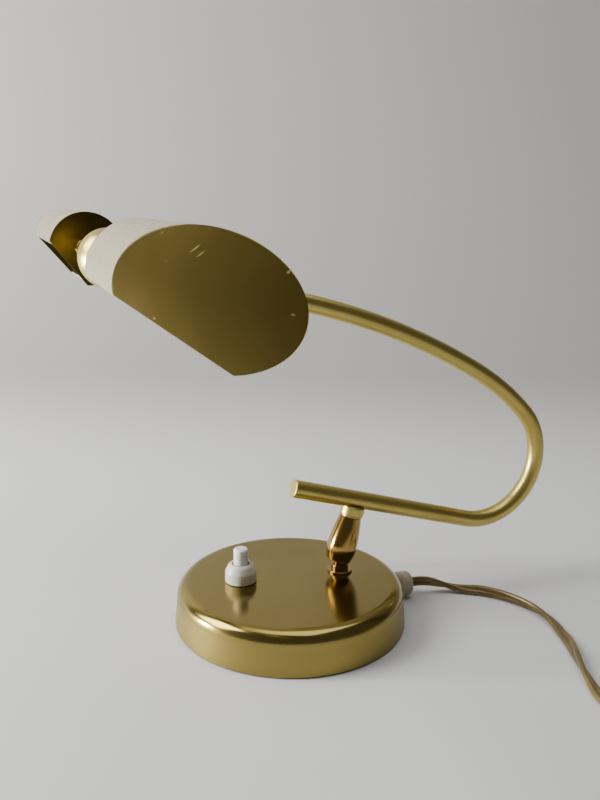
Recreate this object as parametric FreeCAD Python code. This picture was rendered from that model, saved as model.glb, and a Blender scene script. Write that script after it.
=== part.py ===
import FreeCAD, Part
import math
import os
from FreeCAD import Placement, Rotation, Vector

# A brass desk lamp. A weighted round base carries a ball joint, the joint carries a bent tube,
# and the tube carries a hub with one trough-shaped shade turning on each end.
# Millimetres, +Z up, origin on the floor under the middle of the base.
# The arm bends in the XZ plane. The shades turn about the hub's line, which is
# parallel to Y but for a slight tilt that lifts the far end.

# ---- Base ----
base_radius = 65.0
base_flare = 1.8
base_foot_radius = base_radius + base_flare
base_height = 24.1
base_shoulder = 7.3
base_wall = 1.2
base_rim_height = 0.9
felt_inset = 2.5
felt_radius = base_radius - felt_inset
felt_thickness = 1.5
plate_thickness = 1.2
plate_gap = 0.15
weight_bottom = 9.5
weight_gap = 0.6
weight_boss_radius = 5.0
screw_circle = 46.0
screw_angles = (70.0, 190.0, 310.0)
screw_radius = 2.0
screw_head_radius = 3.6
screw_length = 12.0

# ---- Ball joint ----
stem_x = 31.3
stem_flange_radius = 7.4
stem_flange_height = 1.5
stem_neck_radius = 5.2
stem_thread_radius = 4.9
stem_hole_gap = 0.06
stem_bore_radius = 2.2
stem_neck_height = 3.0
stem_waist_radius = 3.9
stem_waist_height = 3.3
stem_nut_radius = 8.5
stem_nut_height = 4.0
stem_washer_radius = 10.0
stem_washer_height = 1.0
ball_height = 36.0
ball_radius = 7.3
ball_gap = 0.05
joint_lean = 16.0
socket_depth = 4.7
socket_foot_radius = 7.4
socket_flare = 0.4
socket_radius = 8.625
socket_mouth_angle = 53.0
socket_thread_radius = 7.95
socket_thread_height = 4.0
barrel_length = 22.8
barrel_widest = 9.0
barrel_widest_height = 3.0
barrel_middle_radius = 8.6
barrel_middle_height = 10.0
barrel_top_radius = 6.5
barrel_bore_radius = 3.2
collar_radius = 7.0
collar_neck_radius = 6.4
collar_groove = 0.5
saddle_wrap = 1.4
grub_radius = 1.2
grub_height = 0.7
grub_station = 2.9
joint_reach = 32.9

# ---- Arm ----
arm_radius = 5.13
arm_wall = 1.0
arm_overhang = 40.0
arm_lower_run = 120.0
arm_bends = ((39.5, 150.3), (167.0, 15.7), (413.0, 16.8))
arm_upper_run = 108.55
plug_length = 9.0
plug_rim = 1.3
fit_gap = 0.05

# ---- Hub ----
hub_tilt = 0.75
hub_radius = 14.6
hub_hollow_radius = 11.4
tube_stop = 9.0
ferrule_radius = 6.8
ferrule_reach = 4.0
rod_radius = 4.5
rod_start = 8.0
rod_shoulder = 76.3
spindle_radius = 5.0
spindle_length = 13.0
spindle_bore_radius = 2.5
shoulder_radius = 6.4
shoulder_width = 2.5

# ---- Shades ----
shade_radius = 21.0
shade_wall = 0.8
shade_chord_depth = 13.4
shade_lip = 2.5
shade_cap = 1.0
cap_chamfer = 0.3
shade_end = 175.35
shade_end_slope = (1.34, 0.578)
near_shade_turn = 35.65
far_shade_turn = 51.8
washer_thickness = 0.8
washer_radius = 9.5
ring_radius = 10.5
ring_width = 4.0
holder_radius = 12.2
holder_length = 27.0
holder_base = 4.0
bulb_length = 57.0
bulb_radius = 10.5
bulb_cap_radius = 6.8
bulb_cap_length = 20.0
bulb_seat = 11.0

# ---- Switch ----
switch_angle = 166.0
switch_offset = 29.0
switch_collar_foot = 9.1
switch_collar_top = 6.0
switch_collar_height = 10.5
switch_collar_gap = 0.3
switch_side_height = 6.0
switch_shoulder_radius = 7.3
switch_shoulder_height = 9.4
switch_mouth_radius = 5.15
switch_neck_radius = 4.85
switch_neck_height = 7.5
plunger_radius = 4.17
plunger_top = 44.0
plunger_gap = 0.05
plunger_travel = 3.0
plunger_flange = 1.5
plunger_flange_radius = 6.0
switch_body_radius = 9.5
switch_body_bottom = 6.5
switch_body_wall = 1.5
pocket_gap = 1.5

# ---- Cord ----
cord_radius = 2.2
cord_height = 8.3
bush_radius = 7.5
bush_rounding = 2.6
bush_reach = 13.0
bush_shank_radius = 4.9
bush_shank_depth = 7.0
cord_inlet_depth = 10.0
clamp_width = 12.0
clamp_depth = 6.0
clamp_margin = 1.0
clamp_room = 2.0
clamp_lid = 1.5
coil_centre = (153.0, -205.0)
coil_outer = 43.0
coil_inner = 21.0
coil_height = 9.6
coil_rounding = 3.0
cord_floor = cord_radius
plug_body_length = 33.0
plug_body_width = 26.0
plug_body_height = 13.6
plug_neck_length = 9.0
plug_neck_radius = 3.6
pin_radius = 2.0
pin_length = 19.0
pin_spacing = 18.6

origin = Vector(0, 0, 0)
up = Vector(0, 0, 1)
made = []


def unit(vector):
    copy = Vector(vector)
    copy.normalize()
    return copy


def rounded_wire(corners, radii, closed):
    """Straight runs between the corners, joined by arcs tangent to both runs."""
    count = len(corners)
    edges = []
    last = None
    first = None
    order = list(range(count))
    for index in order:
        here = corners[index]
        end_corner = not closed and index in (0, count - 1)
        radius = radii[index]
        if end_corner or radius == 0:
            start, finish, middle = here, here, None
        else:
            before = unit(here - corners[index - 1])
            after = unit(corners[(index + 1) % count] - here)
            half = before.getAngle(after) / 2
            setback = radius * math.tan(half)
            start = here - before * setback
            finish = here + after * setback
            middle = here + unit(after - before) * (radius / math.cos(half) - radius)
        if last is not None and last.distanceToPoint(start) > 1e-6:
            edges.append(Part.LineSegment(last, start).toShape())
        if first is None:
            first = start
        if middle is not None:
            edges.append(Part.Arc(start, middle, finish).toShape())
        last = finish
    if closed and last.distanceToPoint(first) > 1e-6:
        edges.append(Part.LineSegment(last, first).toShape())
    return Part.Wire(edges)


def turned(outline):
    """Turn a closed outline of (radius, height, corner radius) about the Z axis."""
    corners = [Vector(point[0], 0, point[1]) for point in outline]
    radii = [point[2] if len(point) > 2 else 0 for point in outline]
    face = Part.Face(rounded_wire(corners, radii, True))
    return face.revolve(origin, up, 360)


def cylinder(radius, bottom, top):
    return Part.makeCylinder(radius, top - bottom, Vector(0, 0, bottom), up)


def ring(outer, inner, bottom, top):
    return cylinder(outer, bottom, top).cut(cylinder(inner, bottom, top))


def placed(shape, position, rotation):
    copy = shape.copy()
    copy.Placement = Placement(position, rotation).multiply(copy.Placement)
    return copy


def moved(shape, x, y, z):
    return placed(shape, Vector(x, y, z), Rotation())


def at_angle(angle, distance, height=0):
    turn = math.radians(angle)
    return Vector(distance * math.cos(turn), distance * math.sin(turn), height)


def swept(wire, direction, radius):
    """A round bar of the given radius along a wire that starts in the given direction."""
    start = wire.OrderedVertexes[0].Point
    circle = Part.Wire([Part.Circle(start, direction, radius).toShape()])
    return wire.makePipeShell([circle], True, True)


def save(node, shape):
    os.makedirs("parts", exist_ok=True)
    solid = shape.Solids[0] if len(shape.Solids) == 1 else shape
    solid.exportStep("parts/" + node + ".step")
    made.append((node, solid.Volume, solid.isValid(), len(shape.Solids)))


# ---- Where the large pieces sit ----
lean = math.radians(joint_lean)
joint_axis = Vector(math.sin(lean), 0, math.cos(lean))
run_axis = Vector(math.cos(lean), 0, -math.sin(lean))
ball_centre = Vector(stem_x, 0, ball_height)
joint_turn = Rotation(Vector(0, 1, 0), joint_lean)
arm_start = ball_centre + joint_axis * joint_reach - run_axis * arm_overhang


def arm_path(start, heading, lower, bends, upper):
    """Edges of the bent tube's centre line, with the point and heading where it ends."""
    point = start
    angle = heading
    ahead = Vector(math.cos(angle), 0, math.sin(angle))
    edges = [Part.LineSegment(point, point + ahead * lower).toShape()]
    point = point + ahead * lower
    for radius, degrees in bends:
        centre = point + Vector(-math.sin(angle), 0, math.cos(angle)) * radius
        stops = []
        for share in (0.5, 1.0):
            reached = angle + math.radians(degrees) * share
            stops.append(centre + Vector(math.sin(reached), 0, -math.cos(reached)) * radius)
        edges.append(Part.Arc(point, stops[0], stops[1]).toShape())
        point = stops[1]
        angle = angle + math.radians(degrees)
    ahead = Vector(math.cos(angle), 0, math.sin(angle))
    edges.append(Part.LineSegment(point, point + ahead * upper).toShape())
    return edges, point + ahead * upper, ahead


full_edges, hub_centre, arm_ahead = arm_path(
    arm_start, -lean, arm_lower_run, arm_bends, arm_upper_run)
tube_edges, tube_end, arm_ahead = arm_path(
    arm_start, -lean, arm_lower_run, arm_bends, arm_upper_run - tube_stop)

# ---- Base ----
wall_slope = (base_foot_radius - base_radius) / (base_height - base_rim_height)
wall_at_cord = base_radius + wall_slope * (base_height - cord_height)
bush_mouth = wall_at_cord + bush_reach
shank_start = wall_at_cord - base_wall - bush_shank_depth
inlet_end = shank_start - cord_inlet_depth
shell_inner = base_radius - base_wall
foot_inner = base_foot_radius - base_wall
shell_top = base_height - base_wall
shell = turned([
    (0, base_height),
    (base_radius, base_height, base_shoulder),
    (base_foot_radius, base_rim_height),
    (foot_inner, base_rim_height),
    (shell_inner, shell_top, base_shoulder - base_wall),
    (0, shell_top),
])
switch_spot = at_angle(switch_angle, switch_offset)
stem_hole = moved(cylinder(stem_thread_radius + stem_hole_gap, 0, base_height), stem_x, 0, 0)
switch_hole = moved(cylinder(switch_neck_radius + fit_gap, 0, base_height),
                    switch_spot.x, switch_spot.y, 0)
bush_hole = Part.makeCylinder(bush_shank_radius + fit_gap, base_foot_radius + 5,
                              Vector(0, 0, cord_height), Vector(1, 0, 0))
shell = shell.cut(Part.makeCompound([stem_hole, switch_hole])).cut(bush_hole)
save("base_shell", shell)

plate_bottom = felt_thickness
plate_top = plate_bottom + plate_thickness
weight_top = shell_top
weight_radius = shell_inner - base_shoulder + base_wall
weight = cylinder(weight_radius, weight_bottom, weight_top)
for angle in screw_angles:
    spot = at_angle(angle, screw_circle)
    weight = weight.fuse(moved(cylinder(weight_boss_radius, plate_top, weight_bottom),
                               spot.x, spot.y, 0))
switch_pocket = moved(cylinder(switch_body_radius + pocket_gap, 0, base_height),
                      switch_spot.x, switch_spot.y, 0)
clamp_top = cord_height + cord_radius + clamp_lid
cord_room = Part.makeBox(base_radius, clamp_width + 2 * clamp_margin, clamp_top + clamp_margin,
                         Vector(inlet_end - clamp_room, -clamp_width / 2 - clamp_margin, 0))
weight = weight.cut(switch_pocket).cut(cord_room).cut(stem_hole)
for angle in screw_angles:
    spot = at_angle(angle, screw_circle)
    weight = weight.cut(moved(cylinder(screw_radius, plate_bottom, plate_bottom + screw_length),
                              spot.x, spot.y, 0))
save("base_weight", weight)

plate = cylinder(foot_inner - plate_gap - 0.3, plate_bottom, plate_top)
for angle in screw_angles:
    spot = at_angle(angle, screw_circle)
    head = Part.makeCone(screw_head_radius, screw_radius, plate_thickness,
                         Vector(spot.x, spot.y, plate_bottom), up)
    plate = plate.cut(head)
    shank = moved(cylinder(screw_radius, plate_top, plate_bottom + screw_length), spot.x, spot.y, 0)
    save("plate_screw_%d" % (screw_angles.index(angle) + 1), head.fuse(shank))
save("base_plate", plate)
save("felt_pad", cylinder(felt_radius, 0, felt_thickness))

# ---- Stem of the ball joint, which turns in the base ----
nut_top = weight_bottom - stem_washer_height
nut_bottom = nut_top - stem_nut_height
flange_top = base_height + stem_flange_height
stem = turned([
    (stem_bore_radius, nut_bottom),
    (stem_thread_radius, nut_bottom),
    (stem_thread_radius, base_height),
    (stem_flange_radius, base_height),
    (stem_flange_radius, flange_top, 0.6),
    (stem_neck_radius, flange_top),
    (stem_neck_radius, flange_top + stem_neck_height, 0.5),
    (stem_waist_radius, flange_top + stem_waist_height),
    (stem_waist_radius, ball_height - ball_radius / 2),
    (stem_bore_radius, ball_height - ball_radius / 2),
])
ball = Part.makeSphere(ball_radius, Vector(0, 0, ball_height))
throat = Part.makeCone(stem_bore_radius, stem_bore_radius + 2, ball_radius,
                       Vector(0, 0, ball_height), up)
lower_bore = cylinder(stem_bore_radius, 0, ball_height)
stem = stem.fuse(ball).cut(throat).cut(lower_bore)
save("stem_ball", moved(stem, stem_x, 0, 0))
washer = ring(stem_washer_radius, stem_thread_radius + fit_gap, nut_top, weight_bottom)
save("stem_washer", moved(washer, stem_x, 0, 0))
hexagon = Part.Face(Part.makePolygon(
    [at_angle(60 * step, stem_nut_radius, nut_bottom) for step in range(7)]))
nut = hexagon.extrude(Vector(0, 0, stem_nut_height))
nut = nut.cut(cylinder(stem_thread_radius, nut_bottom, nut_top))
save("stem_nut", moved(nut, stem_x, 0, 0))

# ---- Socket, barrel and collar, drawn upright about the ball and then leaned ----
cavity_radius = ball_radius + ball_gap
mouth = math.radians(socket_mouth_angle)
mouth_radius = cavity_radius * math.sin(mouth)
mouth_height = -cavity_radius * math.cos(mouth)
cavity = Part.makeSphere(cavity_radius, origin)
socket = turned([
    (0, -socket_depth),
    (socket_foot_radius, -socket_depth, 0.6),
    (socket_radius, 0),
    (socket_thread_radius, 0),
    (socket_thread_radius, socket_thread_height),
    (0, socket_thread_height),
])
mouth_cone = Part.makeCone(mouth_radius + socket_flare, mouth_radius, mouth_height + socket_depth,
                           Vector(0, 0, -socket_depth), up)
upper_bore = cylinder(cavity_radius, 0, socket_thread_height)
socket = socket.cut(cavity).cut(mouth_cone).cut(upper_bore)
save("ball_socket", placed(socket, ball_centre, joint_turn))

cup_top = 9.5
cup = cylinder(cavity_radius - fit_gap, 2.0, cup_top).cut(cavity)
cup = cup.cut(cylinder(barrel_bore_radius, 0, cup_top))
save("ball_cup", placed(cup, ball_centre, joint_turn))

barrel = turned([
    (barrel_bore_radius, cup_top),
    (cavity_radius, cup_top),
    (cavity_radius, socket_thread_height),
    (socket_thread_radius, socket_thread_height),
    (socket_thread_radius, 0),
    (socket_radius, 0),
    (barrel_widest, barrel_widest_height, 28.0),
    (barrel_middle_radius, barrel_middle_height, 100.0),
    (barrel_top_radius, barrel_length, 0.4),
    (barrel_bore_radius, barrel_length),
])
save("joint_barrel", placed(barrel, ball_centre, joint_turn))

tube_collar_top = joint_reach - arm_radius + saddle_wrap
tube_collar = turned([
    (barrel_bore_radius, barrel_length),
    (collar_neck_radius, barrel_length),
    (collar_neck_radius, barrel_length + collar_groove),
    (collar_radius, barrel_length + collar_groove, 0.9),
    (collar_radius, tube_collar_top, 1.0),
    (barrel_bore_radius, tube_collar_top),
])
saddle = Part.makeCylinder(arm_radius, 40, Vector(-20, 0, joint_reach), Vector(1, 0, 0))
grub_hole = Part.makeCylinder(grub_radius, collar_radius, Vector(0, 0, barrel_length + grub_station),
                              Vector(1, 0, 0))
tube_collar = tube_collar.cut(saddle).cut(grub_hole)
save("tube_collar", placed(tube_collar, ball_centre, joint_turn))
grub = Part.makeCylinder(grub_radius, collar_radius + grub_height - barrel_bore_radius,
                         Vector(barrel_bore_radius, 0, barrel_length + grub_station), Vector(1, 0, 0))
save("grub_screw", placed(grub, ball_centre, joint_turn))

# ---- Arm ----
tube = swept(Part.Wire(tube_edges), run_axis, arm_radius)
tube_hollow = swept(Part.Wire(tube_edges), run_axis, arm_radius - arm_wall)
lead_hole = Part.makeCylinder(barrel_bore_radius, arm_radius,
                              ball_centre + joint_axis * (joint_reach - arm_radius), joint_axis)
save("arm_tube", tube.cut(tube_hollow).cut(lead_hole))
end_plug = turned([
    (0, -plug_rim),
    (arm_radius, -plug_rim, 0.9),
    (arm_radius, 0),
    (arm_radius - arm_wall, 0),
    (arm_radius - arm_wall, plug_length),
    (0, plug_length),
])
save("arm_end_plug", placed(end_plug, arm_start, Rotation(up, run_axis)))

# ---- Hub, a hollow ball that holds the arm's end, with a rod out of each side ----
along_near = Rotation(Vector(1, 0, 0), 90 + hub_tilt)
along_far = Rotation(Vector(1, 0, 0), hub_tilt - 90)
ferrule_start = hub_centre - arm_ahead * (hub_radius + ferrule_reach)
arm_bore = Part.makeCylinder(arm_radius, hub_radius * 2, ferrule_start, arm_ahead)
hub_solid = Part.makeSphere(hub_radius, hub_centre)
hub_hollow = Part.makeSphere(hub_hollow_radius, hub_centre)
rod_bore = placed(cylinder(rod_radius, -hub_radius, hub_radius), hub_centre, along_near)
hub_ball = hub_solid.cut(hub_hollow).cut(rod_bore)
hub_ball = hub_ball.cut(Part.makeCylinder(arm_radius, hub_radius, ferrule_start, arm_ahead))
save("hub_ball", hub_ball)

ferrule = Part.makeCylinder(ferrule_radius, hub_radius, ferrule_start, arm_ahead)
save("arm_ferrule", ferrule.cut(hub_solid).cut(arm_bore))

shade_start = rod_shoulder + shoulder_width
spindle_end = shade_start + spindle_length
rod = turned([
    (spindle_bore_radius, rod_start),
    (rod_radius, rod_start),
    (rod_radius, rod_shoulder),
    (shoulder_radius, rod_shoulder, 0.6),
    (shoulder_radius, shade_start, 0.3),
    (spindle_radius, shade_start),
    (spindle_radius, spindle_end, 0.4),
    (spindle_bore_radius, spindle_end),
])

# ---- One shade half, its opening facing -Y, its length along +Z ----
cap_end = shade_start + shade_cap


def trough_face(radius, chord_depth, height):
    """The whole section of a shade: a circle with its lower part cut off by a chord."""
    half = math.sqrt(radius ** 2 - chord_depth ** 2)
    left = Vector(-half, -chord_depth, height)
    right = Vector(half, -chord_depth, height)
    arc = Part.Arc(right, Vector(0, radius, height), left).toShape()
    return Part.Face(Part.Wire([arc, Part.LineSegment(left, right).toShape()]))


def beyond(shift):
    """Everything past the slanted end plane, moved along the length by the shift."""
    size = 60.0
    corners = []
    for x, y in ((-size, -size), (size, -size), (size, size), (-size, size)):
        height = shade_end + shift + shade_end_slope[0] * x + shade_end_slope[1] * y
        corners.append(Vector(x, y, height))
    face = Part.Face(Part.makePolygon(corners + [corners[0]]))
    return face.extrude(Vector(0, 0, 300))


slope_length = math.sqrt(1 + shade_end_slope[0] ** 2 + shade_end_slope[1] ** 2)
cap_shift = shade_cap * slope_length
whole_length = 160.0
outer_trough = trough_face(shade_radius, shade_chord_depth, cap_end)
inner_trough = trough_face(shade_radius - shade_wall, shade_chord_depth - shade_wall, cap_end)
slot_half = math.sqrt(shade_radius ** 2 - shade_chord_depth ** 2) - shade_lip
mouth_slot = Part.makeBox(2 * slot_half, 4 * shade_wall, whole_length,
                          Vector(-slot_half, -shade_chord_depth - 2 * shade_wall, cap_end))
shade = outer_trough.extrude(Vector(0, 0, whole_length))
shade = shade.cut(inner_trough.extrude(Vector(0, 0, whole_length)))
shade = shade.cut(mouth_slot).cut(beyond(-cap_shift))
end_cap = outer_trough.extrude(Vector(0, 0, whole_length))
end_cap = end_cap.cut(beyond(0)).common(beyond(-cap_shift))
outer_face = max(end_cap.Faces, key=lambda face: face.CenterOfMass.z)
end_cap = end_cap.makeChamfer(cap_chamfer, outer_face.Edges)
inner_cap = trough_face(shade_radius, shade_chord_depth, shade_start).extrude(
    Vector(0, 0, shade_cap))
inner_cap = inner_cap.cut(cylinder(spindle_radius + fit_gap, shade_start, cap_end))

washer = ring(washer_radius, spindle_radius + fit_gap, cap_end, cap_end + washer_thickness)
ring_start = cap_end + washer_thickness
holder_start = ring_start + ring_width
clamp_ring = ring(ring_radius, spindle_radius, ring_start, holder_start)
bulb_start = holder_start + bulb_seat
holder = turned([
    (spindle_radius, holder_start),
    (holder_radius - 1.5, holder_start, 0.8),
    (holder_radius, holder_start + 3, 0.8),
    (holder_radius, holder_start + holder_length, 0.6),
    (bulb_cap_radius + fit_gap, holder_start + holder_length),
    (bulb_cap_radius + fit_gap, bulb_start),
    (spindle_bore_radius, bulb_start),
    (spindle_bore_radius, spindle_end),
    (spindle_radius, spindle_end),
])
bulb_end = bulb_start + bulb_length
glass_start = bulb_start + bulb_cap_length
bulb = turned([
    (0, bulb_start),
    (3.0, bulb_start),
    (bulb_cap_radius, bulb_start + 3.0),
    (bulb_cap_radius, glass_start),
    (bulb_radius, glass_start + 5.0, 4.0),
    (bulb_radius, bulb_end, bulb_radius - 0.1),
    (0, bulb_end),
])


def shade_turning(side, turn):
    """Rotation that lays a shade's length along the hub, near (side -1) or far (side 1)."""
    angle = math.radians(turn)
    back = Vector(math.sin(angle), 0, math.cos(angle))
    length = Vector(0, side, 0)
    across = back.cross(length)
    level = Rotation(across, back, length, "ZXY")
    return Rotation(Vector(1, 0, 0), hub_tilt).multiply(level)


for name, side, turn, hub_rotation in (
        ("near", -1, near_shade_turn, along_near), ("far", 1, far_shade_turn, along_far)):
    shade_rotation = shade_turning(side, turn)
    save(name + "_rod", placed(rod, hub_centre, hub_rotation))
    save(name + "_shade", placed(shade, hub_centre, shade_rotation))
    save(name + "_outer_cap", placed(end_cap, hub_centre, shade_rotation))
    save(name + "_inner_cap", placed(inner_cap, hub_centre, shade_rotation))
    save(name + "_washer", placed(washer, hub_centre, hub_rotation))
    save(name + "_clamp_ring", placed(clamp_ring, hub_centre, hub_rotation))
    save(name + "_lampholder", placed(holder, hub_centre, hub_rotation))
    save(name + "_bulb", placed(bulb, hub_centre, hub_rotation))

# ---- Push switch ----
collar_bottom = base_height + switch_collar_gap
collar_top = collar_bottom + switch_collar_height
switch_top = base_height + switch_neck_height
switch_gasket = ring(switch_collar_foot - 0.6, switch_neck_radius + fit_gap, base_height,
                     collar_bottom)
switch_collar = turned([
    (switch_neck_radius, collar_bottom),
    (switch_collar_foot, collar_bottom, 0.4),
    (switch_collar_foot - 0.1, collar_bottom + switch_side_height, 3.0),
    (switch_shoulder_radius, collar_bottom + switch_shoulder_height, 2.0),
    (switch_collar_top, collar_top, 0.5),
    (switch_mouth_radius, collar_top),
    (switch_mouth_radius, switch_top),
    (switch_neck_radius, switch_top),
])
guide_radius = plunger_radius + plunger_gap
body_top = shell_top
flange_top = body_top - switch_body_wall
switch_body = turned([
    (guide_radius, switch_top),
    (switch_neck_radius, switch_top),
    (switch_neck_radius, body_top),
    (switch_body_radius, body_top),
    (switch_body_radius, switch_body_bottom, 0.6),
    (0, switch_body_bottom),
    (0, switch_body_bottom + switch_body_wall),
    (plunger_flange_radius + 0.5, switch_body_bottom + switch_body_wall),
    (plunger_flange_radius + 0.5, flange_top),
    (guide_radius, flange_top),
])
plunger = turned([
    (0, plunger_top),
    (plunger_radius, plunger_top, 1.4),
    (plunger_radius, flange_top - 0.05),
    (plunger_flange_radius, flange_top - 0.05),
    (plunger_flange_radius, flange_top - 0.05 - plunger_flange),
    (0, flange_top - 0.05 - plunger_flange),
])
for node, shape in (("switch_gasket", switch_gasket), ("switch_collar", switch_collar),
                    ("switch_body", switch_body), ("switch_plunger", plunger)):
    save(node, moved(shape, switch_spot.x, switch_spot.y, 0))

# ---- Cord bush, the cord inside the base and its clamp ----
along_x = Rotation(Vector(0, 1, 0), 90)
bush = turned([
    (cord_radius, shank_start),
    (bush_shank_radius, shank_start, 0.5),
    (bush_shank_radius, wall_at_cord - base_wall),
    (bush_radius, wall_at_cord - base_wall),
    (bush_radius, bush_mouth, bush_rounding),
    (cord_radius, bush_mouth),
])
bush = placed(bush, Vector(0, 0, cord_height), along_x)
base_solid = turned([
    (0, 0),
    (base_foot_radius, 0),
    (base_foot_radius, base_rim_height),
    (base_radius, base_height, base_shoulder),
    (0, base_height),
])
bush_outside = bush.cut(base_solid)
bush_inside = bush.common(Part.makeCylinder(bush_shank_radius, base_foot_radius,
                                            Vector(0, 0, cord_height), Vector(1, 0, 0)))
bush = bush_outside.fuse(bush_inside).removeSplitter()
save("cord_bush", bush)
inlet = Part.makeCylinder(cord_radius, bush_mouth - inlet_end,
                          Vector(inlet_end, 0, cord_height), Vector(1, 0, 0))
save("cord_inlet", inlet)
clamp = Part.makeBox(clamp_depth, clamp_width, clamp_top - plate_top,
                     Vector(inlet_end + clamp_margin, -clamp_width / 2, plate_top))
clamp = clamp.cut(inlet)
save("cord_clamp", clamp)

# ---- Free cord ----
cord_corners = [
    Vector(bush_mouth, 0, cord_height),
    Vector(bush_mouth + 10, 0, cord_height),
    Vector(bush_mouth + 23, -4, cord_floor + 2.2),
    Vector(121, -15, cord_floor),
    Vector(134, -32, cord_floor),
    Vector(141, -55, cord_floor),
    Vector(134, -82, cord_floor),
    Vector(121, -108, cord_floor),
    Vector(111, -133, cord_floor),
    Vector(108, -160, cord_floor),
    Vector(coil_centre[0] - coil_outer + 2.4, coil_centre[1] + 12, cord_floor),
]


def bent_rod(corners):
    """A round bar through the corners, each corner rounded as widely as its runs allow."""
    radii = [0.0]
    for index in range(1, len(corners) - 1):
        before = corners[index] - corners[index - 1]
        after = corners[index + 1] - corners[index]
        half = before.getAngle(after) / 2
        shorter = min(before.Length, after.Length)
        radii.append(0.45 * shorter / math.tan(half))
    radii.append(0.0)
    wire = rounded_wire(corners, radii, False)
    bar = swept(wire, corners[1] - corners[0], cord_radius)
    print("cord radii", [round(value, 1) for value in radii[1:-1]], "length", round(wire.Length, 1))
    print("cord volume ratio", round(bar.Volume / (wire.Length * math.pi * cord_radius ** 2), 4))
    return bar


coil = turned([
    (coil_inner, 0, coil_rounding),
    (coil_outer, 0, coil_rounding),
    (coil_outer, coil_height, coil_rounding),
    (coil_inner, coil_height, coil_rounding),
])
coil = moved(coil, coil_centre[0], coil_centre[1], 0)
save("cord_tube", bent_rod(cord_corners).cut(coil))
save("cord_coil", coil)

# ---- Plug, lying beside the coil ----
tail_angle = -40.0
tail_start = at_angle(tail_angle, coil_outer - cord_radius * 2) + Vector(
    coil_centre[0], coil_centre[1], plug_body_height / 2)
tail_ahead = at_angle(tail_angle + 62, 1)
tail_length = 34.0
tail = Part.makeCylinder(cord_radius, tail_length, tail_start, tail_ahead)
tail = tail.cut(coil)
save("cord_tail", tail)
plug_turn = Rotation(Vector(1, 0, 0), tail_ahead)
plug_start = tail_start + tail_ahead * tail_length
neck = Part.makeCylinder(plug_neck_radius, plug_neck_length + 1, origin, Vector(1, 0, 0))
block = Part.makeBox(plug_body_length, plug_body_width, plug_body_height,
                     Vector(plug_neck_length, -plug_body_width / 2, -plug_start.z))
upright = [edge for edge in block.Edges
           if abs(edge.Vertexes[0].Z - edge.Vertexes[1].Z) > plug_body_height / 2]
block = block.makeFillet(5.0, upright)
level = [edge for edge in block.Edges
         if abs(edge.Vertexes[0].Z - edge.Vertexes[-1].Z) < 0.01]
block = block.makeFillet(1.6, level)
save("plug_body", placed(block.fuse(neck), plug_start, plug_turn))
pins = []
for side in (-1, 1):
    pin_start = Vector(plug_neck_length + plug_body_length, side * pin_spacing / 2, 0)
    pin = Part.makeCylinder(pin_radius, pin_length, pin_start, Vector(1, 0, 0))
    pins.append(placed(pin.makeFillet(0.8, [pin.Edges[0]]), plug_start, plug_turn))
save("plug_pin_left", pins[0])
save("plug_pin_right", pins[1])

print("hub centre", [round(value, 2) for value in hub_centre])
print("arm start", [round(value, 2) for value in arm_start])
print("switch", [round(value, 2) for value in switch_spot])
for node, volume, valid, solids in made:
    print(node, round(volume, 1), "valid" if valid else "NOT VALID", solids)
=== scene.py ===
import math

import bpy
import numpy as np
from mathutils import Matrix, Vector


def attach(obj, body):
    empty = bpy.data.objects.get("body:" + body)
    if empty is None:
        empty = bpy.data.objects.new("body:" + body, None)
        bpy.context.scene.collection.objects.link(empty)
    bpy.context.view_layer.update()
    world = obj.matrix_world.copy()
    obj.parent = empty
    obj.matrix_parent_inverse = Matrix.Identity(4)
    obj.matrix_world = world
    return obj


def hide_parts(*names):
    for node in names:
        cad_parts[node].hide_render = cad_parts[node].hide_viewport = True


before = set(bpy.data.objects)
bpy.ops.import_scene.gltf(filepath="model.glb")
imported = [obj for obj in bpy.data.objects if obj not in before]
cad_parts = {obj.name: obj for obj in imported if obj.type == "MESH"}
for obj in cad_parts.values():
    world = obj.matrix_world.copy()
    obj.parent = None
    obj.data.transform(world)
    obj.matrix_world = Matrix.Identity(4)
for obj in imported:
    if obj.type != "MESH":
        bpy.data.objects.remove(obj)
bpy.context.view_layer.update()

upward = np.array([0.0, 0.0, 1.0])

# The hub's centre in metres, how far each shade half is turned in degrees, and how far the
# hub's line climbs for each metre of y.
hub = {"centre": (-0.09747, 0.0, 0.20833), "nearTurn": 35.65, "farTurn": 51.8, "rise": 0.01309}


# Camera and stage

camera = {
    "place": (-0.15767, -0.40109, 0.23017),
    "ahead": (0.36457, 0.90354, -0.22519),
    "above": (0.07052, 0.21435, 0.97421),
    "lens": 36.0,
}


def addCamera(settings):
    data = bpy.data.cameras.new("mainCamera")
    data.lens = settings["lens"]
    data.sensor_width = 36.0
    data.clip_start = 0.01
    data.clip_end = 50.0
    ahead = Vector(settings["ahead"]).normalized()
    right = ahead.cross(Vector(settings["above"])).normalized()
    above = right.cross(ahead)
    turn = Matrix((right, above, -ahead)).transposed().to_4x4()
    shown = bpy.data.objects.new("mainCamera", data)
    shown.matrix_world = Matrix.Translation(Vector(settings["place"])) @ turn
    bpy.context.collection.objects.link(shown)
    bpy.context.scene.camera = shown


def meshFrom(name, points, faces):
    mesh = bpy.data.meshes.new(name)
    mesh.from_pydata(np.reshape(points, (-1, 3)).tolist(), [], faces)
    mesh.update()
    mesh.polygons.foreach_set("use_smooth", [True] * len(mesh.polygons))
    made = bpy.data.objects.new(name, mesh)
    bpy.context.collection.objects.link(made)
    return made


def gridFaces(rows, columns, closed=False):
    # Quads between neighbours of a rows x columns grid; a closed one joins its last column
    # to its first.
    i = np.arange(rows - 1)[:, None]
    j = np.arange(columns if closed else columns - 1)[None, :]
    nextJ = (j + 1) % columns
    corners = (i * columns + nextJ, (i + 1) * columns + nextJ, (i + 1) * columns + j, i * columns + j)
    return np.stack(corners, -1).reshape(-1, 4).tolist()


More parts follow.
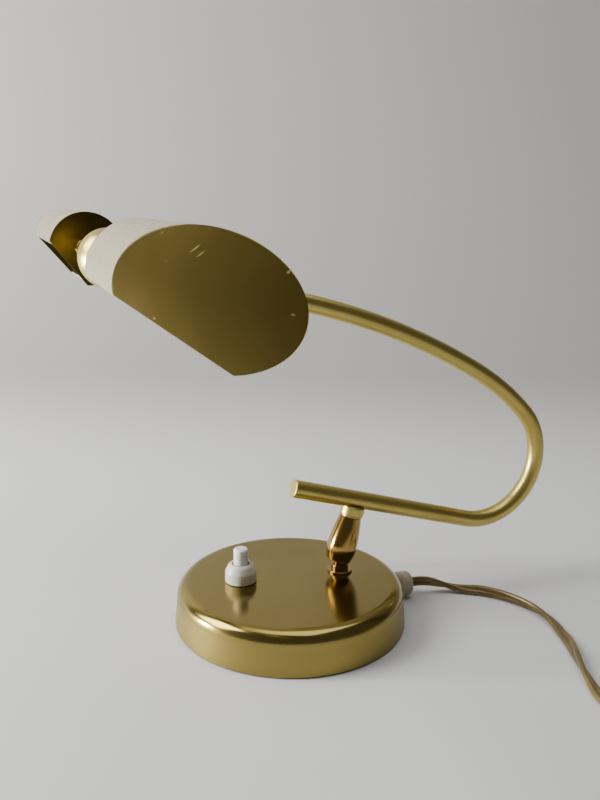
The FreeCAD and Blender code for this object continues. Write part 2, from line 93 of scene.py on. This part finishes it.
sweep = {
    "half": 6.0,
    "flat": 0.07,
    "radius": 0.6,
    "tall": 3.0,
    "bendPoints": 40,
    "darkFrom": 0.0,
    "darkAbove": 0.08,
}


def addSweep(settings):
    # A floor that stays flat, then curves up behind the lamp as a quarter circle and rises.
    ahead = np.array([camera["ahead"][0], camera["ahead"][1], 0.0])
    ahead /= np.linalg.norm(ahead)
    side = np.array([-ahead[1], ahead[0], 0.0])
    bend = np.linspace(0.0, math.pi / 2, settings["bendPoints"])
    along = np.concatenate([[-settings["half"]], settings["flat"] + settings["radius"] * np.sin(bend)])
    height = np.concatenate([[0.0], settings["radius"] * (1.0 - np.cos(bend))])
    along = np.append(along, along[-1])
    height = np.append(height, settings["radius"] + settings["tall"])
    across = np.linspace(-settings["half"], settings["half"], 3)
    points = (along[:, None, None] * ahead + across[None, :, None] * side
              + height[:, None, None] * upward)
    made = meshFrom("backdrop", points, gridFaces(len(along), len(across)))
    return made


lights = {
    "aim": (0.0, 0.0, 0.1),
    "window": {"direction": (-0.93, 0.30, 0.78), "distance": 1.5, "size": (0.75, 0.90),
               "power": 31.0, "colour": (1.0, 0.985, 0.96)},
    "strip": {"direction": (-0.955, 0.285, -0.01), "distance": 1.1, "size": (0.12, 0.22),
              "power": 30.0, "colour": (1.0, 0.985, 0.95)},
    "ceiling": {"direction": (0.10, 0.10, 1.0), "distance": 2.0, "size": (1.8, 1.8),
                "power": 24.0, "colour": (0.97, 0.98, 1.0)},
    "world": {"colour": (0.40, 0.39, 0.37), "strength": 0.30},
}


def addLights(settings):
    for name in ("window", "strip", "ceiling"):
        each = settings[name]
        data = bpy.data.lights.new(name, "AREA")
        data.shape = "RECTANGLE"
        data.size, data.size_y = each["size"]
        data.energy = each["power"]
        data.color = each["colour"]
        shown = bpy.data.objects.new(name, data)
        toLight = Vector(each["direction"]).normalized()
        shown.matrix_world = (Matrix.Translation(Vector(settings["aim"]) + toLight * each["distance"])
                              @ toLight.to_track_quat("Z", "Y").to_matrix().to_4x4())
        bpy.context.collection.objects.link(shown)
    world = bpy.data.worlds.new("room")
    world.use_nodes = True
    glow = world.node_tree.nodes["Background"]
    glow.inputs["Color"].default_value = (*settings["world"]["colour"], 1.0)
    glow.inputs["Strength"].default_value = settings["world"]["strength"]
    bpy.context.scene.world = world


addCamera(camera)
backdrop = addSweep(sweep)
addLights(lights)
print("camera, backdrop and lights placed")


# Cord

cord = {
    "exit": (0.07923, 0.0, 0.0083),
    "width": 0.0062,
    "lobe": 0.00165,
    "lobeOffset": 0.00145,
    "sectionPoints": 28,
    "step": 0.0016,
    # The free run settles on the floor over this stretch, where it lies below this height.
    "floorGap": 0.0003,
    "freeLength": 0.235,
    "settleStart": 0.025,
    "settleLength": 0.02,
    "lyingBelow": 0.0045,
    # The turns of the coil rock a little, in radians, and this much for each metre.
    "wobble": 0.16,
    "wobbleRate": 61.0,
    "coilCentre": (0.153, -0.205),
    "coilInner": 0.0243,
    "coilOuter": 0.0402,
    "coilStart": math.pi + 0.12,
    "layerHeights": (0.0039, 0.0102),
    "turns": 3.88,
    "pointsPerTurn": 14,
    "radiusSpread": 0.00035,
    "heightSpread": 0.00015,
    "tailAngle": -40.0,
    "tailLead": 0.035,
    "tailInset": 0.0016,
    "tailHeading": 22.0,
    "tailLength": 0.034,
    "tailShares": (0.25, 0.55, 1.0),
    "plugHeight": 0.0068,
}

# The free run from the bush to the coil, the same points as the solid tube's corners.
freeRun = [
    cord["exit"],
    (0.08923, 0.0, 0.0083),
    (0.10223, -0.004, 0.0044),
    (0.121, -0.015, 0.0022),
    (0.134, -0.032, 0.0022),
    (0.141, -0.055, 0.0022),
    (0.134, -0.082, 0.0022),
    (0.121, -0.108, 0.0022),
    (0.111, -0.133, 0.0022),
    (0.108, -0.160, 0.0022),
    (0.1118, -0.192, 0.0022),
]

# How far round the flat section is turned, in degrees, at lengths from the exit: on edge where
# it leaves the base, twisting as it goes, and on edge again in the coil.
rollPlaces = [
    (0.0, 90.0),
    (0.012, 95.0),
    (0.027, 166.0),
    (0.049, 250.0),
    (0.080, 300.0),
    (0.110, 360.0),
    (0.140, 450.0),
    (0.170, 540.0),
    (0.205, 540.0),
    (cord["freeLength"], 630.0),
]


def extraTurn(settings):
    # What the upper layer turns further or less, so that it ends where the tail leaves it.
    wholeTurns = 2 * settings["turns"] + 1.0 / settings["pointsPerTurn"]
    endAngle = settings["coilStart"] / (2 * math.pi) + wholeTurns
    missing = settings["tailAngle"] / 360.0 - settings["tailLead"] - endAngle
    return missing - round(missing)


def coilPoints(settings):
    # Round and inwards on the floor, up one layer, then round and outwards to the tail.
    count = int(settings["turns"] * settings["pointsPerTurn"])
    share = np.linspace(0.0, 1.0, count)
    rng = np.random.default_rng(7)
    layers = []
    startAngle = settings["coilStart"]
    for index, height in enumerate(settings["layerHeights"]):
        inward = share if index == 0 else 1.0 - share
        radius = settings["coilOuter"] + (settings["coilInner"] - settings["coilOuter"]) * inward
        radius = radius + rng.normal(0.0, settings["radiusSpread"], count)
        turns = settings["turns"] if index == 0 else settings["turns"] + extraTurn(settings)
        angle = startAngle + share * turns * 2.0 * math.pi
        startAngle = angle[-1] + 2.0 * math.pi / settings["pointsPerTurn"]
        lift = height + rng.normal(0.0, settings["heightSpread"], count)
        layers.append(np.stack([settings["coilCentre"][0] + radius * np.cos(angle),
                                settings["coilCentre"][1] + radius * np.sin(angle), lift], -1))
    return np.concatenate(layers)


def tailPoints(settings):
    angle, heading = math.radians(settings["tailAngle"]), math.radians(settings["tailHeading"])
    reach = settings["coilOuter"] - settings["tailInset"]
    start = np.array([settings["coilCentre"][0] + reach * math.cos(angle),
                      settings["coilCentre"][1] + reach * math.sin(angle), settings["plugHeight"]])
    ahead = np.array([math.cos(heading), math.sin(heading), 0.0])
    return [start + ahead * settings["tailLength"] * share for share in settings["tailShares"]], ahead


def routeCurve(points):
    data = bpy.data.curves.new("cordRoute", "CURVE")
    data.dimensions = "3D"
    data.resolution_u = 10
    spline = data.splines.new("NURBS")
    spline.points.add(len(points) - 1)
    flat = np.concatenate([points, np.ones((len(points), 1))], 1)
    spline.points.foreach_set("co", flat.ravel())
    spline.order_u = 3
    spline.use_endpoint_u = True
    made = bpy.data.objects.new("cordRoute", data)
    bpy.context.collection.objects.link(made)
    bpy.context.view_layer.update()
    return made


def pointsAlong(route, step):
    # The spline's own points, spaced evenly by length.
    mesh = bpy.data.meshes.new_from_object(route)
    found = np.empty(len(mesh.vertices) * 3)
    mesh.vertices.foreach_get("co", found)
    found = found.reshape(-1, 3)
    length = np.concatenate([[0.0], np.cumsum(np.linalg.norm(np.diff(found, axis=0), axis=1))])
    evenly = np.linspace(0.0, length[-1], int(length[-1] / step) + 1)
    bpy.data.objects.remove(route)
    bpy.data.meshes.remove(mesh)
    return np.stack([np.interp(evenly, length, found[:, k]) for k in range(3)], -1), evenly


def unitRows(vectors):
    return vectors / np.linalg.norm(vectors, axis=-1, keepdims=True)


def carried(path, section, roll):
    # A section carried along a path: level across the path, turned by the roll at each point.
    ahead = unitRows(np.gradient(path, axis=0))
    across = unitRows(np.cross(upward, ahead))
    over = np.cross(ahead, across)
    x = section[None, :, 0] * np.cos(roll)[:, None] - section[None, :, 1] * np.sin(roll)[:, None]
    y = section[None, :, 0] * np.sin(roll)[:, None] + section[None, :, 1] * np.cos(roll)[:, None]
    return path[:, None, :] + x[..., None] * across[:, None, :] + y[..., None] * over[:, None, :]


def closedTube(name, rings):
    # A tube through rings of points, with a fan of triangles to a pole at each end.
    rows, columns = rings.shape[:2]
    points = np.concatenate([rings.reshape(-1, 3), rings[0].mean(0)[None], rings[-1].mean(0)[None]])
    firstPole, lastPole = rows * columns, rows * columns + 1
    lastRing = (rows - 1) * columns
    faces = gridFaces(rows, columns, closed=True)
    edges = [(k, (k + 1) % columns) for k in range(columns)]
    faces += [[a, b, firstPole] for a, b in edges]
    faces += [[b + lastRing, a + lastRing, lastPole] for a, b in edges]
    return meshFrom(name, points, faces)


def twinSection(settings):
    # Two round lobes side by side: the distance out at an angle t is
    # offset |cos t| + sqrt(lobe squared - (offset sin t) squared).
    t = np.linspace(0.0, 2.0 * math.pi, settings["sectionPoints"], endpoint=False)
    offset, lobe = settings["lobeOffset"], settings["lobe"]
    reach = offset * np.abs(np.cos(t)) + np.sqrt(lobe ** 2 - (offset * np.sin(t)) ** 2)
    return np.stack([reach * np.cos(t), reach * np.sin(t)], -1)


def addCord(settings):
    tail, ahead = tailPoints(settings)
    route = routeCurve(np.concatenate([freeRun, coilPoints(settings), tail]))
    path, length = pointsAlong(route, settings["step"])
    rollLengths, rollDegrees = zip(*rollPlaces)
    roll = np.interp(length, rollLengths, np.radians(rollDegrees))
    inCoil = length > settings["freeLength"]
    roll = roll + settings["wobble"] * np.sin(length * settings["wobbleRate"]) * inCoil
    # Lowered or lifted until the turned section lies just above the floor.
    lowest = settings["lobe"] + settings["lobeOffset"] * np.abs(np.sin(roll)) + settings["floorGap"]
    lying = (length < settings["freeLength"]) & (path[:, 2] < settings["lyingBelow"])
    settled = np.clip((length - settings["settleStart"]) / settings["settleLength"], 0.0, 1.0) * lying
    laid = path.copy()
    laid[:, 2] += (lowest - path[:, 2]) * settled
    laid[:, 2] = np.maximum(laid[:, 2], lowest)
    made = closedTube("flat_twin_cord", carried(laid, twinSection(settings), roll))
    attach(made, "base")
    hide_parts("cord_tube", "cord_coil", "cord_tail")
    return made, path, length[-1], ahead


cordPiece, cordPath, cordLength, tailAhead = addCord(cord)
print("cord laid, length", round(float(cordLength), 4))


# Plug

plug = {
    "neckLength": 0.009,
    "bodyLength": 0.033,
    "neckRadius": 0.0036,
    "halfWidth": 0.013,
    "halfHeight": 0.0068,
    "swellStart": 0.9,
    "swellLength": 0.010,
    "ribs": 4,
    "ribDepth": 0.07,
    "waistDepth": 0.10,
    "waistFromEnd": 0.013,
    "waistSpread": 0.0055,
    "endRound": 0.0016,
    "endShrink": 0.10,
    "roundPower": 2.0,
    "powerGain": 2.6,
    "rows": 90,
    "columns": 56,
}


def addPlug(settings, start, ahead):
    # Superellipse sections along the plug: |x/a|^n + |y/b|^n = 1, with a, b and n following
    # the length from the round ribbed neck to the flat waisted body.
    neck = settings["neckLength"]
    total = neck + settings["bodyLength"]
    along = np.linspace(0.0, 1.0, settings["rows"]) * total
    swell = np.clip((along - neck * settings["swellStart"]) / settings["swellLength"], 0.0, 1.0)
    swell = swell * swell * (3.0 - 2.0 * swell)
    fromWaist = (along - total + settings["waistFromEnd"]) / settings["waistSpread"]
    waist = 1.0 - settings["waistDepth"] * np.exp(-fromWaist ** 2)
    ripple = np.cos(along / neck * 2.0 * math.pi * settings["ribs"])
    rib = 1.0 + settings["ribDepth"] * ripple * (1 - swell)
    intoEnd = np.clip((along - total + settings["endRound"]) / settings["endRound"], 0.0, 1.0)
    shrink = 1.0 - (1.0 - np.sqrt(1.0 - intoEnd ** 2)) * settings["endShrink"]
    ribbed = settings["neckRadius"] * (1 - swell) * rib
    a = (ribbed + settings["halfWidth"] * swell * waist) * shrink
    b = (ribbed + settings["halfHeight"] * swell) * shrink
    power = settings["roundPower"] + settings["powerGain"] * swell
    t = np.linspace(0.0, 2.0 * math.pi, settings["columns"], endpoint=False)
    c, d = np.cos(t)[None, :], np.sin(t)[None, :]
    x = a[:, None] * np.sign(c) * np.abs(c) ** (2.0 / power[:, None])
    y = b[:, None] * np.sign(d) * np.abs(d) ** (2.0 / power[:, None])
    side = np.array([-ahead[1], ahead[0], 0.0])
    rings = start + along[:, None, None] * ahead + x[..., None] * side + y[..., None] * upward
    made = closedTube("mains_plug", rings)
    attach(made, "base")
    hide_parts("plug_body")
    return made


plugPiece = addPlug(plug, cordPath[-1], tailAhead)
print("plug made")


# Shader writing

def fillSocket(tree, socket, value):
    # A link where the value comes from a node, otherwise a colour or a number.
    if isinstance(value, Value):
        tree.links.new(value.socket, socket)
    elif socket.type == "RGBA":
        socket.default_value = (*value, 1.0)
    else:
        socket.default_value = value


def nodeIn(tree, kind, settings=None, values=None):
    made = tree.nodes.new(kind)
    for key, value in (settings or {}).items():
        setattr(made, key, value)
    for key, value in (values or {}).items():
        fillSocket(tree, made.inputs[key], value)
    return made


class Value:
    def __init__(self, tree, socket):
        self.tree, self.socket = tree, socket

    def math(self, operation, *others):
        made = nodeIn(self.tree, "ShaderNodeMath", {"operation": operation}, dict(enumerate(others)))
        return Value(self.tree, made.outputs[0])

    def __add__(self, other):
        return self.math("ADD", self, other)

    def __radd__(self, other):
        return self.math("ADD", other, self)

    def __sub__(self, other):
        return self.math("SUBTRACT", self, other)

    def __rsub__(self, other):
        return self.math("SUBTRACT", other, self)

    def __mul__(self, other):
        return self.math("MULTIPLY", self, other)

    def __rmul__(self, other):
        return self.math("MULTIPLY", other, self)

    def __pow__(self, other):
        return self.math("POWER", self, other)

    def step(self, low, high):
        # 0 below low, 1 above high, smooth between.
        made = nodeIn(self.tree, "ShaderNodeMapRange",
                      {"interpolation_type": "SMOOTHSTEP", "clamp": True},
                      {"Value": self, "From Min": low, "From Max": high})
        return Value(self.tree, made.outputs["Result"])


class Finish:
    def __init__(self, name, **constants):
        self.material = bpy.data.materials.new(name)
        self.material.use_nodes = True
        self.tree = self.material.node_tree
        self.shader = self.tree.nodes["Principled BSDF"]
        self.place = self.node("ShaderNodeTexCoord", "Object")
        self.feed(**constants)

    def node(self, kind, output, settings=None, values=None):
        return Value(self.tree, nodeIn(self.tree, kind, settings, values).outputs[output])

    def feed(self, **values):
        for key, value in values.items():
            fillSocket(self.tree, self.shader.inputs[key.replace("_", " ")], value)

    def parts(self):
        split = nodeIn(self.tree, "ShaderNodeSeparateXYZ", None, {0: self.place})
        return [Value(self.tree, split.outputs[k]) for k in range(3)]

    def joined(self, x, y, z):
        return self.node("ShaderNodeCombineXYZ", 0, None, {0: x, 1: y, 2: z})

    def noise(self, vector, scale, detail, roughness=0.5):
        return self.node("ShaderNodeTexNoise", "Fac", {"noise_dimensions": "3D"},
                         {"Vector": vector, "Scale": scale, "Detail": detail, "Roughness": roughness})

    def mix(self, factor, a, b):
        # The mix node's colour sockets are its inputs 6 and 7 and its output 2.
        return self.node("ShaderNodeMix", 2, {"data_type": "RGBA"}, {0: factor, 6: a, 7: b})

    def bump(self, height, strength, distance):
        return self.node("ShaderNodeBump", "Normal", None,
                         {"Strength": strength, "Distance": distance, "Height": height})

    def polar(self, centre, axis, rise=0.0):
        # Distance from an axis line, place along it and angle round it; axis is 0, 1 or 2.
        # The rise is how far the line climbs for each metre of y.
        x, y, z = self.parts()
        z = z - y * rise
        coordinates = [x - centre[0], y - centre[1], z - centre[2]]
        along = coordinates.pop(axis)
        radius = (coordinates[0] * coordinates[0] + coordinates[1] * coordinates[1]) ** 0.5
        angle = coordinates[0].math("ARCTAN2", coordinates[1], coordinates[0])
        return radius, along, angle


print("shader tools ready")


# Finishes

colours = {
    "satin": (0.55, 0.44, 0.13),
    "satinDull": (0.42, 0.325, 0.075),
    "polished": (0.36, 0.225, 0.05),
    "polishedDull": (0.22, 0.12, 0.022),
    # Painted shade: the base's brass is coloured darker than the satin brass.
    "base": (0.31, 0.24, 0.07),
    "baseDull": (0.25, 0.185, 0.045),
    # Painted sheen: the shade's brass is coloured paler than the other brass.
    "shell": (0.72, 0.64, 0.42),
    "shellDull": (0.58, 0.50, 0.29),
    # Painted shade: the end caps' brass is coloured much darker than the shade's brass.
    "capPaintedShade": (0.105, 0.076, 0.016),
    "darkWorn": (0.34, 0.26, 0.10),
    "enamel": (0.72, 0.73, 0.68),
    "enamelDusty": (0.52, 0.53, 0.47),
    "zinc": (0.62, 0.63, 0.64),
    "zincDull": (0.46, 0.45, 0.42),
    "iron": (0.10, 0.10, 0.10),
    "ironRusty": (0.22, 0.20, 0.18),
    "felt": (0.025, 0.028, 0.025),
    "feltPale": (0.09, 0.10, 0.09),
    "screwCap": (0.74, 0.66, 0.45),
    "pearl": (0.90, 0.90, 0.87),
    "flex": (0.13, 0.085, 0.018),
    "flexPale": (0.23, 0.165, 0.05),
    "white": (0.52, 0.49, 0.41),
    "whiteStained": (0.42, 0.39, 0.30),
    "coolWhite": (0.66, 0.67, 0.66),
    "coolWhiteStained": (0.56, 0.56, 0.53),
    "cream": (0.40, 0.35, 0.23),
    "creamStained": (0.28, 0.235, 0.14),
    "black": (0.025, 0.025, 0.025),
    "blackDusty": (0.05, 0.048, 0.045),
    "floor": (0.60, 0.605, 0.61),
    "floorPale": (0.64, 0.645, 0.65),
    # Painted shade: the rising part of the same backdrop is coloured darker.
    "wallPaintedShade": (0.315, 0.305, 0.285),
    "wallPale": (0.345, 0.335, 0.315),
}


def baseFinish():
    # Brass brushed in rings: streaks are long round the base and fine across it.
    made = Finish("ringBrushedBrass", Metallic=1.0)
    radius, along, angle = made.polar((0.0, 0.0, 0.0), 2)
    across = radius + along
    streak = made.noise(made.joined(across * 5200.0, angle * 2.2, along * 300.0), 1.0, 2.0)
    broad = made.noise(made.joined(across * 900.0, angle * 1.1, 0.0), 1.0, 2.0)
    cloud = made.noise(made.place, 22.0, 4.0)
    spots = made.noise(made.place, 260.0, 2.0).step(0.70, 0.78)
    # Painted shade: the colour darkens towards the base's bottom 6 mm, by the floor; the cloudy
    # patches and spots are real stains.
    footShade = 1.0 - along.step(0.001, 0.006)
    side = 1.0 - along.step(0.014, 0.0225)
    stainAndFootShade = cloud.step(0.42, 0.72) * 0.45 + footShade * 0.4 + spots * 0.35
    made.feed(Base_Color=made.mix(stainAndFootShade, colours["base"], colours["baseDull"]),
              Roughness=0.11 + broad * 0.06 + cloud * 0.05 + spots * 0.12 + side * 0.22,
              Normal=made.bump(streak + broad * 0.4, 0.16, 0.00002))
    return made.material


# Inside this distance from the hub's line, and past this depth from the open side, the shade
# is enamelled; each is a soft edge, in metres.
shade = {"enamelRadius": (0.02050, 0.02070), "enamelDepth": (-0.0132, -0.0130)}


def shadeFinish(name, turn):
    # Brass outside and on the rim, brushed along the shade and coloured pale as a painted sheen; white
    # enamel inside the trough.
    made = Finish(name)
    x, y, z = made.parts()
    radius, along, angle = made.polar(hub["centre"], 1, hub["rise"])
    sine, cosine = math.sin(math.radians(turn)), math.cos(math.radians(turn))
    depth = ((x - hub["centre"][0]) * sine
             + (z - hub["centre"][2] - y * hub["rise"]) * cosine)
    inside = (1.0 - radius.step(*shade["enamelRadius"])) * depth.step(*shade["enamelDepth"])
    streak = made.noise(made.joined(angle * 260.0, along * 22.0, radius * 3000.0), 1.0, 2.0)
    cloud = made.noise(made.place, 30.0, 4.0)
    pits = made.noise(made.place, 420.0, 2.0).step(0.72, 0.80)
    # Painted sheen: the pale brass stands in for the bright reflection along the shade's sides.
    sheenMetal = made.mix(cloud.step(0.45, 0.8) * 0.5 + pits * 0.5, colours["shell"], colours["shellDull"])
    dust = made.noise(made.place, 60.0, 5.0)
    paint = made.mix(dust.step(0.5, 0.75) * 0.35, colours["enamel"], colours["enamelDusty"])
    made.feed(Base_Color=made.mix(inside, sheenMetal, paint), Metallic=1.0 - inside,
              Roughness=0.24 + cloud * 0.08 + pits * 0.2 + inside * 0.12,
              Normal=made.bump(streak * (1.0 - inside) + dust * inside * 0.3, 0.18, 0.00004))
    return made.material


# Where the scratches are, as x and z, and the squared distances between which they fade.
cap = {"scratchPlace": (-0.112, 0.222), "scratchFade": (0.00002, 0.00045)}


def capFinish(name, side):
    # Brass coloured deep brown as painted shade, with a few bright scratches towards its upper corner.
    made = Finish(name, Metallic=1.0)
    x, y, z = made.parts()
    slant = made.joined(x * 60.0 + z * 60.0, y * 60.0 * side, z * 900.0 - x * 900.0)
    scratch = made.noise(slant, 1.0, 2.0, 0.4).step(0.70, 0.80)
    fromX, fromZ = x - cap["scratchPlace"][0], z - cap["scratchPlace"][1]
    patch = 1.0 - (fromX * fromX + fromZ * fromZ).step(*cap["scratchFade"])
    cloud = made.noise(made.place, 24.0, 5.0)
    grain = made.noise(made.joined(x * 500.0, y * 3000.0, z * 500.0), 1.0, 2.0)
    marks = scratch * patch
    pits = made.noise(made.place, 300.0, 2.0).step(0.74, 0.80)
    worn = cloud.step(0.50, 0.80) * 0.12 + marks * 0.8
    made.feed(Base_Color=made.mix(worn + pits * -0.2, colours["capPaintedShade"], colours["darkWorn"]),
              Roughness=0.20 + cloud * 0.08 + marks * 0.25 + pits * 0.2,
              Normal=made.bump(grain * 0.5 + marks * 0.6 - pits, 0.25, 0.00003))
    return made.material


def tubeFinish():
    # Drawn brass tube: faint lengthwise lines, spots and a warmer tarnish in places.
    made = Finish("drawnBrass", Metallic=1.0)
    x, y, z = made.parts()
    line = made.noise(made.joined(x * 60.0, y * 2600.0, z * 60.0), 1.0, 2.0)
    cloud = made.noise(made.place, 34.0, 5.0)
    spots = made.noise(made.place, 340.0, 2.0).step(0.70, 0.79)
    made.feed(Base_Color=made.mix(cloud.step(0.42, 0.75) * 0.55 + spots * 0.4,
                                  colours["satin"], colours["satinDull"]),
              Roughness=0.29 + cloud * 0.10 + spots * 0.15,
              Normal=made.bump(line + spots * -0.5, 0.16, 0.00003))
    return made.material


def turnedFinish(name, axis, centre):
    # Turned and polished brass: fine tool rings round its own axis, under clear lacquer.
    made = Finish(name, Metallic=1.0, Coat_IOR=1.5)
    x, y, z = made.parts()
    along = (x - centre[0]) * axis[0] + (y - centre[1]) * axis[1] + (z - centre[2]) * axis[2]
    rings = made.noise(made.joined(along * 3600.0, 0.0, 0.0), 1.0, 2.0)
    cloud = made.noise(made.place, 70.0, 4.0)
    dull = cloud.step(0.4, 0.75) * 0.6
    made.feed(Base_Color=made.mix(dull, colours["polished"], colours["polishedDull"]),
              Roughness=0.11 + cloud * 0.09,
              Coat_Weight=0.4 + cloud * 0.2, Coat_Roughness=0.06,
              Normal=made.bump(rings, 0.10, 0.00003))
    return made.material


def plasticFinish(name, colour, stained, roughness, grain):
    # Moulded plastic: a slight sink and grain in the surface, dirt in patches.
    made = Finish(name)
    cloud = made.noise(made.place, 120.0, 4.0)
    fine = made.noise(made.place, 2600.0, 2.0)
    made.feed(Base_Color=made.mix(cloud.step(0.48, 0.78), colours[colour], colours[stained]),
              Roughness=roughness + cloud * 0.12,
              Normal=made.bump(fine * grain + cloud * 0.5, 0.12, 0.00005))
    return made.material


def steelFinish():
    # Zinc-plated steel, dull in patches.
    made = Finish("zincPlate", Metallic=1.0)
    cloud = made.noise(made.place, 260.0, 4.0)
    fine = made.noise(made.place, 1800.0, 2.0)
    made.feed(Base_Color=made.mix(cloud.step(0.4, 0.7), colours["zinc"], colours["zincDull"]),
              Roughness=0.30 + cloud * 0.22, Normal=made.bump(fine, 0.2, 0.00004))
    return made.material


def ironFinish():
    # Rough cast iron.
    made = Finish("greyIron", Metallic=0.6)
    coarse = made.noise(made.place, 420.0, 6.0, 0.65)
    made.feed(Base_Color=made.mix(coarse, colours["iron"], colours["ironRusty"]),
              Roughness=0.62 + coarse * 0.25, Normal=made.bump(coarse, 0.6, 0.0003))
    return made.material


def feltFinish():
    # Dark felt with a fine uneven nap.
    made = Finish("darkFelt", Roughness=0.95, Sheen_Weight=0.4)
    fibre = made.noise(made.place, 1600.0, 5.0, 0.7)
    made.feed(Base_Color=made.mix(fibre, colours["felt"], colours["feltPale"]),
              Normal=made.bump(fibre, 0.7, 0.0002))
    return made.material


bulb = {"glassFrom": (0.1152, 0.1160)}  # along the hub's line, either way


def bulbFinish():
    # A brass screw cap towards the hub and pearl glass beyond it.
    made = Finish("pearlLamp", IOR=1.5)
    y = made.parts()[1]
    glass = y.math("ABSOLUTE", y).step(*bulb["glassFrom"])
    cloud = made.noise(made.place, 200.0, 3.0)
    made.feed(Base_Color=made.mix(glass, colours["screwCap"], colours["pearl"]),
              Metallic=1.0 - glass, Roughness=0.26 + cloud * 0.12 + glass * 0.10,
              Coat_Weight=glass * 0.6, Coat_Roughness=0.1,
              Normal=made.bump(cloud, 0.08, 0.0001))
    return made.material


def cordFinish():
    # Soft gold plastic, cloudy, with a little glitter in it.
    made = Finish("goldFlex", Metallic=0.5, Coat_Roughness=0.16)
    cloud = made.noise(made.place, 90.0, 4.0)
    fleck = made.noise(made.place, 5200.0, 1.0).step(0.58, 0.72)
    made.feed(Base_Color=made.mix(cloud.step(0.3, 0.8) * 0.6 + fleck * 0.3,
                                  colours["flex"], colours["flexPale"]),
              Roughness=0.26 + cloud * 0.12, Coat_Weight=0.5 + cloud * 0.1,
              Normal=made.bump(cloud + fleck * 0.3, 0.15, 0.00008))
    return made.material


def backdropFinish():
    # A pale floor, and painted shade where the sweep climbs: its colour turns darker as it rises.
    made = Finish("palePaint", Roughness=0.62)
    climbShade = made.parts()[2].step(sweep["darkFrom"], sweep["darkAbove"])
    cloud = made.noise(made.place, 1.3, 3.0)
    fine = made.noise(made.place, 900.0, 2.0)
    floor = made.mix(cloud, colours["floor"], colours["floorPale"])
    wallPaintedShade = made.mix(cloud, colours["wallPaintedShade"], colours["wallPale"])
    made.feed(Base_Color=made.mix(climbShade, floor, wallPaintedShade),
              Normal=made.bump(fine, 0.05, 0.0002))
    return made.material


# The ball's centre, and how far the joint above it leans from upright.
joint = {"ballCentre": (0.0313, 0.0, 0.036), "lean": math.radians(16.0)}
jointAxis = (math.sin(joint["lean"]), 0.0, math.cos(joint["lean"]))

turnedJoint = turnedFinish("turnedJointBrass", jointAxis, joint["ballCentre"])
turnedStem = turnedFinish("turnedStemBrass", (0.0, 0.0, 1.0), joint["ballCentre"])
turnedHub = turnedFinish("turnedHubBrass", (0.0, 1.0, 0.0), hub["centre"])
drawn = tubeFinish()
steel = steelFinish()
white = plasticFinish("whiteMoulding", "white", "whiteStained", 0.30, 0.3)
coolWhite = plasticFinish("coolWhiteMoulding", "coolWhite", "coolWhiteStained", 0.30, 0.3)
cream = plasticFinish("creamMoulding", "cream", "creamStained", 0.42, 0.5)
black = plasticFinish("blackMoulding", "black", "blackDusty", 0.38, 0.8)
pearl = bulbFinish()

finishes = {
    "base_shell": baseFinish(),
    "base_weight": ironFinish(),
    "base_plate": steel,
    "felt_pad": feltFinish(),
    "stem_ball": turnedStem,
    "stem_washer": steel,
    "stem_nut": steel,
    "ball_socket": turnedJoint,
    "ball_cup": black,
    "joint_barrel": turnedJoint,
    "tube_collar": drawn,
    "grub_screw": turnedJoint,
    "arm_tube": drawn,
    "arm_end_plug": drawn,
    "arm_ferrule": drawn,
    "hub_ball": drawn,
    "switch_gasket": black,
    "switch_collar": white,
    "switch_body": black,
    "switch_plunger": coolWhite,
    "cord_bush": cream,
    "cord_inlet": black,
    "cord_clamp": cream,
    "plug_pin_left": steel,
    "plug_pin_right": steel,
}
for number in (1, 2, 3):
    finishes["plate_screw_%d" % number] = steel
for half, side in (("near", 1.0), ("far", -1.0)):
    finishes[half + "_shade"] = shadeFinish(half + "ShadeBrass", hub[half + "Turn"])
    capBrass = capFinish(half + "CapBrass", side)
    finishes[half + "_outer_cap"] = capBrass
    finishes[half + "_inner_cap"] = capBrass
    finishes[half + "_rod"] = turnedHub
    finishes[half + "_washer"] = steel
    finishes[half + "_clamp_ring"] = steel
    finishes[half + "_lampholder"] = black
    finishes[half + "_bulb"] = pearl

for node, material in finishes.items():
    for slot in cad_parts[node].material_slots:
        slot.material = material
cordPiece.data.materials.append(cordFinish())
plugPiece.data.materials.append(cream)
backdrop.data.materials.append(backdropFinish())
print("finishes given")
